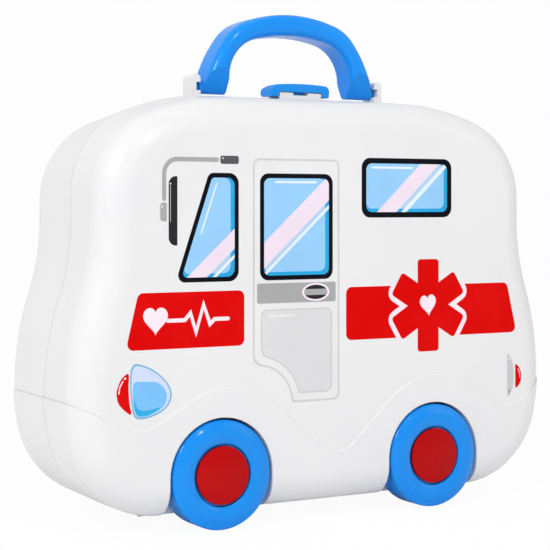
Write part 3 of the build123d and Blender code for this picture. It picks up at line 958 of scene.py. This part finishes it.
@dataclass
class SignFilm(PrintedFilm):
    """The red band with the six-armed sign: bands, white border, sign and heart."""

    centre: Point = (59.3, 105.6)
    arm: float = 13.3
    rise: float = 24.1
    reach: float = 23.0
    slant: float = 31.0
    border: float = 2.6
    blunt: float = 1.8
    bay: float = 5.0
    corner: float = 3.2
    band_low: float = 89.3
    band_high: float = 116.3
    band_slant: float = 6.5
    heart_size: Point = (10.2, 10.4)
    heart_tilt: float = 6.0
    notch_corner: float = 0.3

    def arm_corners(self, angle: float, length: float, half: float) -> tuple[Vector, Vector]:
        """The two outer corners of an arm.

        Args:
            angle: The arm's direction in degrees.
            length: Its length from the middle.
            half: Half its width.

        Returns:
            The corner on its right and the one on its left, seen along the arm.
        """
        along = Vector((math.cos(math.radians(angle)), math.sin(math.radians(angle))))
        across = Vector((-along.y, along.x))
        middle = Vector(self.centre)
        return middle + along * length - across * half, middle + along * length + across * half

    def sign(self) -> Outline:
        """The sign's outline.

        Returns:
            The outline.
        """
        angles = [self.slant, 90.0, 180 - self.slant, 180 + self.slant, 270.0, 360 - self.slant]
        half = self.arm / 2
        corners: list[Triple] = []
        for index, angle in enumerate(angles):
            length = self.rise if angle in (90.0, 270.0) else self.reach
            first, second = self.arm_corners(angle, length, half)
            following = angles[(index + 1) % 6] + (360 if index == 5 else 0)
            gap = math.radians(following - angle) / 2
            bisector = math.radians(angle) + gap
            inward = Vector((math.cos(bisector), math.sin(bisector))) * (half / math.sin(gap))
            notch = Vector(self.centre) + inward
            corners += [(spot.x, spot.y, self.blunt) for spot in (first, second)]
            corners.append((notch.x, notch.y, 0.0))
        return rounded(corners, 5)

    def bite(self) -> Outline:
        """The band's end beside the sign, on the +X side, from its foot up to its head.

        Returns:
            The open line of points.
        """
        half = self.arm / 2 + self.border
        length = self.reach + self.border
        right, left = self.arm_corners(self.slant, length, half)
        share = (self.band_high - right.y) / (left.y - right.y)
        head = right.lerp(left, share)
        notch = Vector((self.centre[0] + half / math.sin(math.radians(self.slant)), self.centre[1]))
        upper = [(right.x, right.y), (head.x, head.y)]
        drop = 2 * self.centre[1]
        share = (drop - self.band_low - right.y) / (left.y - right.y)
        foot = right.lerp(left, share)
        return [(foot.x, drop - foot.y), (right.x, drop - right.y), (notch.x, notch.y)] + upper

    def layers(self) -> list[Layer]:
        """The band's inks.

        Returns:
            The layers.
        """
        low_x, high_x, _, _ = self.area()
        high_x += self.tip(self.band_slant, self.band_high - self.band_low)
        radii = (0.0, self.bay, self.notch_corner, self.bay, 0.0)
        rim = [(x, z, radius) for (x, z), radius in zip(self.bite(), radii)]
        mirrored = [(2 * self.centre[0] - x, z, radius) for x, z, radius in rim]
        tail = [(high_x, self.band_low), (high_x - self.band_slant, self.band_high)]
        nose = [(low_x, self.band_high), (low_x, self.band_low)]
        back = rim[::-1] + [(x, z, self.corner) for x, z in tail]
        front = mirrored + [(x, z, self.corner) for x, z in nose]
        _, upper = self.arm_corners(self.slant, self.reach, self.arm / 2)
        inner = [(upper.x, upper.y, 0.0), (*self.centre, 0.0), (upper.x, 2 * self.centre[1] - upper.y, 0.0)]
        gap = clipped(rounded(rim + inner, 5), (0, 1), self.band_high)
        gap = clipped(gap, (0, -1), -self.band_low)
        twin = [(2 * self.centre[0] - x, z) for x, z in gap[::-1]]
        return [
            Layer(Paint.INK_WHITE, [gap], 0),
            Layer(Paint.INK_WHITE, [twin], 0),
            Layer(Paint.INK_RED, [rounded(back, 5)], 0),
            Layer(Paint.INK_RED, [rounded(front, 5)], 0),
            Layer(Paint.INK_RED, [self.sign()], 1),
            Layer(Paint.INK_WHITE, [heart(self.centre, *self.heart_size, self.heart_tilt)], 2),
        ]


@dataclass
class MirrorFilm(PrintedFilm):
    """The door mirror on its bent arm."""

    arm: float = 2.2
    arm_z: float = 180.0
    arm_x: float = -93.6
    arm_foot: float = 161.0
    bend: float = 7.0
    joint: Span = (-63.4, -53.3, 178.0, 182.0)
    block: Span = (-95.7, -92.2, 150.2, 159.2)
    glass: Span = (-91.2, -86.6, 138.6, 171.8)

    def layers(self) -> list[Layer]:
        """The mirror's inks.

        Returns:
            The layers.
        """
        bend = [(self.arm_x + self.bend * (1 - math.cos(a)), self.arm_z - self.bend * (1 - math.sin(a)))
                for a in (math.pi / 2 * s / 10 for s in range(11))]
        path = [(self.arm_x, self.arm_foot)] + bend + [(self.joint[0] - 1.8, self.arm_z)]
        x0, _, z0, z1 = self.glass
        shine = [(x0 + 0.9, z0 + 11.5), (x0 + 0.9, z1 - 4.6)]
        bx0, _, _, bz1 = self.block
        jx0, _, _, jz1 = self.joint
        return [
            Layer(Paint.INK_GREY, [stroke(path, self.arm)], 0),
            Layer(Paint.INK_GREY, [patch(self.block, 1.7, 0.4)], 1),
            Layer(Paint.INK_CHARCOAL, [patch(self.glass, 3.8, 0.3)], 1),
            Layer(Paint.INK_SLATE, [patch(self.joint, 1.0, 1.0)], 1),
            Layer(Paint.INK_GREY, [stroke(shine, 0.45)], 2),
            Layer(Paint.INK_DOOR, [ellipse((bx0 + 1.1, bz1 - 2.0), 0.5, 0.5, 16)], 2),
            Layer(Paint.INK_DOOR, [ellipse((x0 + 0.9, z1 - 3.6), 0.45, 0.45, 16)], 2),
            Layer(Paint.INK_SILVER, [ellipse((jx0 + 1.4, jz1 - 1.2), 0.5, 0.5, 16)], 2),
        ]


@dataclass
class HeadlightFilm(PrintedFilm):
    """The headlight: a red lamp behind a drop of blue glass."""

    middle: Point = (-101.0, 69.5)
    rim_share: float = 0.93
    glass: Loop = (
        (-109.9, 82.1), (-108.0, 83.0), (-102.5, 81.4), (-96.5, 77.9), (-91.8, 73.2), (-89.6, 68.2),
        (-91.0, 63.0), (-95.6, 59.2), (-102.0, 57.1), (-107.2, 56.9), (-109.6, 59.2), (-110.8, 66.0),
        (-111.3, 72.5), (-111.1, 79.5),
    )
    lit: Loop = (
        (-109.3, 73.9), (-104.0, 74.3), (-98.0, 73.9), (-93.9, 71.2), (-92.2, 67.2), (-93.4, 63.0),
        (-97.0, 60.0), (-102.0, 58.1), (-106.6, 57.9), (-108.8, 60.4), (-109.8, 66.0),
    )
    deep: Loop = (
        (-109.2, 66.6), (-107.8, 62.4), (-105.6, 60.9), (-101.6, 60.8), (-95.6, 61.8), (-100.6, 58.9),
        (-106.2, 58.3), (-108.6, 60.2),
    )
    lamp: Loop = (
        (-112.1, 78.4), (-115.6, 76.4), (-117.8, 72.0), (-118.2, 68.4), (-116.6, 63.8), (-110.9, 59.2),
        (-111.7, 65.0), (-112.1, 72.0),
    )
    glint: Loop = ((-117.1, 69.4), (-116.6, 72.4), (-115.0, 75.2))

    def layers(self) -> list[Layer]:
        """The headlight's inks.

        Returns:
            The layers.
        """
        glass = smooth(self.glass)
        x0, z0 = self.middle
        inner = [(x0 + (x - x0) * self.rim_share, z0 + (z - z0) * self.rim_share) for x, z in glass]
        return [
            Layer(Paint.INK_LAMP_RIM, [glass], 0),
            Layer(Paint.INK_ICE, [inner], 1),
            Layer(Paint.INK_LAMP, [smooth(self.lit)], 2),
            Layer(Paint.INK_LAMP_DEEP, [smooth(self.deep)], 3),
            Layer(Paint.INK_RED, [smooth(self.lamp)], 0),
            Layer(Paint.INK_WHITE, [stroke(self.glint, 0.6)], 1),
            Layer(Paint.INK_WHITE, [ellipse((-113.9, 76.4), 0.6, 0.5, 16)], 1),
        ]


@dataclass
class TailLightFilm(PrintedFilm):
    """The tail light: a silver bow and a red lamp behind it."""

    silver: Loop = (
        (111.4, 77.6), (113.4, 75.6), (115.3, 71.0), (115.6, 65.8), (115.3, 60.6), (113.4, 56.6),
        (111.5, 54.7), (111.3, 60.0), (111.2, 66.0), (111.2, 72.0),
    )
    lamp: Loop = (
        (116.8, 71.8), (119.0, 70.4), (120.6, 67.2), (120.7, 63.8), (119.2, 60.6), (116.9, 59.2),
        (116.7, 63.0), (116.7, 68.0),
    )
    glint: Loop = ((118.6, 69.2), (119.7, 66.9), (119.9, 64.6))

    def layers(self) -> list[Layer]:
        """The tail light's inks.

        Returns:
            The layers.
        """
        return [
            Layer(Paint.INK_SILVER, [smooth(self.silver)], 0),
            Layer(Paint.INK_RED, [smooth(self.lamp)], 0),
            Layer(Paint.INK_GREY, [ellipse((112.7, 57.4), 0.9, 1.2, 20)], 1),
            Layer(Paint.INK_SPARK, [ellipse((112.4, 75.2), 0.5, 0.6, 16)], 1),
            Layer(Paint.INK_GLARE, [stroke(self.glint, 0.45)], 1),
        ]


@dataclass
class Prints:
    """All the films of one face."""

    side: Side

    def build(self) -> list[bpy.types.Object]:
        """Build the face's films.

        Returns:
            The pieces.
        """
        films: list[PrintedFilm] = [
            WindowFilm("cab_window", self.side, "film_window", lean=18.0, corner=3.6, back_corner=5.2,
                       glare_foot=4.4, glare_width=10.8, pale_width=3.0, slope=0.9,
                       spark=((20.6, 5.2), (12.2, 29.0)), spark_width=0.8),
            WindowFilm("door_window", self.side, "film_window", glare_foot=-15.8, glare_width=14.0,
                       pale_width=2.6, slope=0.9, spark=((9.0, 4.2), (32.0, 4.2)), spark_width=1.1),
            WindowFilm("side_window", self.side, "film_window", frame=2.8, corner=5.0, back_corner=5.0,
                       glare_foot=9.2, glare_width=12.0, pale_width=3.0, line_width=3.2, slope=0.92,
                       spark=((6.4, 4.9), (31.0, 4.9)), spark_width=1.1),
            DoorFilm("door_print", self.side, "film_white"),
            LabelFilm("label_print", self.side, "film_red"),
            SignFilm("sign_print", self.side, "film_red"),
            MirrorFilm("mirror_print", self.side, "film_grey"),
            HeadlightFilm("headlight", self.side, "film_window"),
            TailLightFilm("tail_light", self.side, "film_grey"),
        ]
        return [film.build() for film in films]


# ---------------------------------------------------------------- moulded parts


@dataclass
class CadFinish:
    """Finishes for the CAD nodes whose solids are shown as they are."""

    plan: dict[Paint, tuple[str, ...]] = field(default_factory=lambda: {
        Paint.SHELL: ("front_shell", "back_shell"),
        Paint.HANDLE: ("handle",),
        Paint.LATCH: ("latch",),
        Paint.WHEEL: ("front_left_wheel", "front_right_wheel", "rear_left_wheel", "rear_right_wheel"),
        Paint.CAP: ("front_left_cap", "front_right_cap", "rear_left_cap", "rear_right_cap"),
        Paint.STEEL: ("hinge_pins", "latch_pin", "front_washers", "rear_washers", "front_screws",
                      "rear_screws"),
    })

    def dress(self, nodes: dict[str, bpy.types.Object]) -> None:
        """Put each finish on its nodes.

        Args:
            nodes: The frame's CAD objects by name.
        """
        for paint, names in self.plan.items():
            for name in names:
                for place in nodes[name].material_slots:
                    place.link = "OBJECT"
                    place.material = paint.material
                LOG.info("%s: %s", name, paint.value.name)


# ---------------------------------------------------------------- studio


@dataclass(frozen=True)
class Lamp:
    """A soft square lamp: where it hangs and its side, in metres, and its watts."""

    name: str
    place: Triple
    size: float
    power: float
    aim: Triple = (0.0, 0.0, 0.13)

    def hang(self) -> None:
        """Hang the lamp so that it looks at the middle of the case."""
        light = bpy.data.lights.new(self.name, "AREA")
        light.energy = self.power
        light.size = self.size
        holder = bpy.data.objects.new(self.name, light)
        holder.location = self.place
        way = Vector(self.aim) - Vector(self.place)
        holder.rotation_euler = way.to_track_quat("-Z", "Y").to_euler()
        bpy.context.scene.collection.objects.link(holder)


@dataclass
class Studio:
    """A pale sweep of floor, a soft sky and three soft lamps and a small bright one, with the camera."""

    lens: float = 103.3
    sensor: float = 36.0
    eye: Triple = (-418.4, -726.8, 157.4)
    turn: float = -29.57
    drop: float = -0.125
    sky: float = 0.67
    sky_tint: Colour = (0.99, 0.99, 0.995)
    paper: Colour = (0.95, 0.95, 0.95)
    whiteness: float = 0.95
    floor_half: float = 4.0
    floor_back: float = 1.9
    sweep_radius: float = 0.7
    sweep_top: float = 3.2
    lamps: tuple[Lamp, ...] = (
        Lamp("key", (-1.6, -0.9, 1.3), 0.5, 15.0),
        Lamp("fill", (1.5, -1.4, 0.9), 1.0, 2.0),
        Lamp("top", (0.0, 0.3, 1.9), 1.2, 2.5),
        Lamp("glint", (-0.05, -1.5, 1.25), 0.17, 4.6),
    )

    def floor(self) -> bpy.types.Object:
        """Lay the floor, which curves up behind the case.

        Returns:
            The floor.
        """
        mesh = bpy.data.meshes.new("studio_floor")
        form = bmesh.new()
        half, back, radius = self.floor_half, self.floor_back, self.sweep_radius
        turns = [math.pi / 2 * step / 12 for step in range(13)]
        sweep = [(back + radius * math.sin(a), radius * (1 - math.cos(a))) for a in turns]
        profile = [(-half, 0.0)] + sweep + [(back + radius, self.sweep_top)]
        rails = [[form.verts.new((x, y, z)) for y, z in profile] for x in (-half, half)]
        for index in range(len(profile) - 1):
            form.faces.new((rails[0][index], rails[1][index], rails[1][index + 1], rails[0][index + 1]))
        form.to_mesh(mesh)
        form.free()
        floor = bpy.data.objects.new("studio_floor", mesh)
        bpy.context.scene.collection.objects.link(floor)
        desk = ShaderDesk.start("studio_paper")
        ray = desk.add("LightPath")
        paper = desk.add("BsdfDiffuse")
        paper.inputs["Color"].default_value = (*self.paper, 1.0)
        white = desk.add("Emission")
        white.inputs["Strength"].default_value = 1.0
        seen = desk.add("MixShader")
        seen.inputs["Fac"].default_value = self.whiteness
        desk.join(paper.outputs[0], seen.inputs[1])
        desk.join(white.outputs[0], seen.inputs[2])
        mixed = desk.add("MixShader")
        desk.join(ray.outputs["Is Camera Ray"], mixed.inputs["Fac"])
        desk.join(paper.outputs[0], mixed.inputs[1])
        desk.join(seen.outputs[0], mixed.inputs[2])
        mesh.materials.append(desk.finish(mixed))
        return floor

    def world(self) -> None:
        """Set a plain soft sky, white where the camera sees it."""
        world = bpy.data.worlds.new("studio_sky")
        bpy.context.scene.world = world
        world.use_nodes = True
        tree = world.node_tree
        tree.nodes.clear()
        ray = tree.nodes.new("ShaderNodeLightPath")
        soft = tree.nodes.new("ShaderNodeBackground")
        soft.inputs["Color"].default_value = (*self.sky_tint, 1.0)
        soft.inputs["Strength"].default_value = self.sky
        white = tree.nodes.new("ShaderNodeBackground")
        white.inputs["Strength"].default_value = 1.0
        white.inputs["Color"].default_value = (1.0, 1.0, 1.0, 1.0)
        mix = tree.nodes.new("ShaderNodeMixShader")
        output = tree.nodes.new("ShaderNodeOutputWorld")
        tree.links.new(ray.outputs["Is Camera Ray"], mix.inputs["Fac"])
        tree.links.new(soft.outputs[0], mix.inputs[1])
        tree.links.new(white.outputs[0], mix.inputs[2])
        tree.links.new(mix.outputs[0], output.inputs["Surface"])

    def camera(self) -> None:
        """Set the camera."""
        data = bpy.data.cameras.new("camera")
        data.lens = self.lens
        data.sensor_width = self.sensor
        data.shift_y = self.drop
        holder = bpy.data.objects.new("camera", data)
        holder.location = [part * MM for part in self.eye]
        holder.rotation_euler = (math.radians(90), 0, math.radians(self.turn))
        bpy.context.scene.collection.objects.link(holder)
        bpy.context.scene.camera = holder

    def build(self) -> None:
        """Build the whole studio."""
        self.floor()
        self.world()
        for lamp in self.lamps:
            lamp.hang()
        self.camera()
        bpy.context.scene.view_settings.view_transform = "Standard"


def main() -> None:
    """Load the frame, dress the case and set the studio."""
    logging.basicConfig(level=logging.INFO, format="%(name)s %(message)s")
    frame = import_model()
    CadFinish().dress(frame["nodes"])
    for side in Side:
        Prints(side).build()
    Studio().build()


if __name__ == "__main__":
    main()
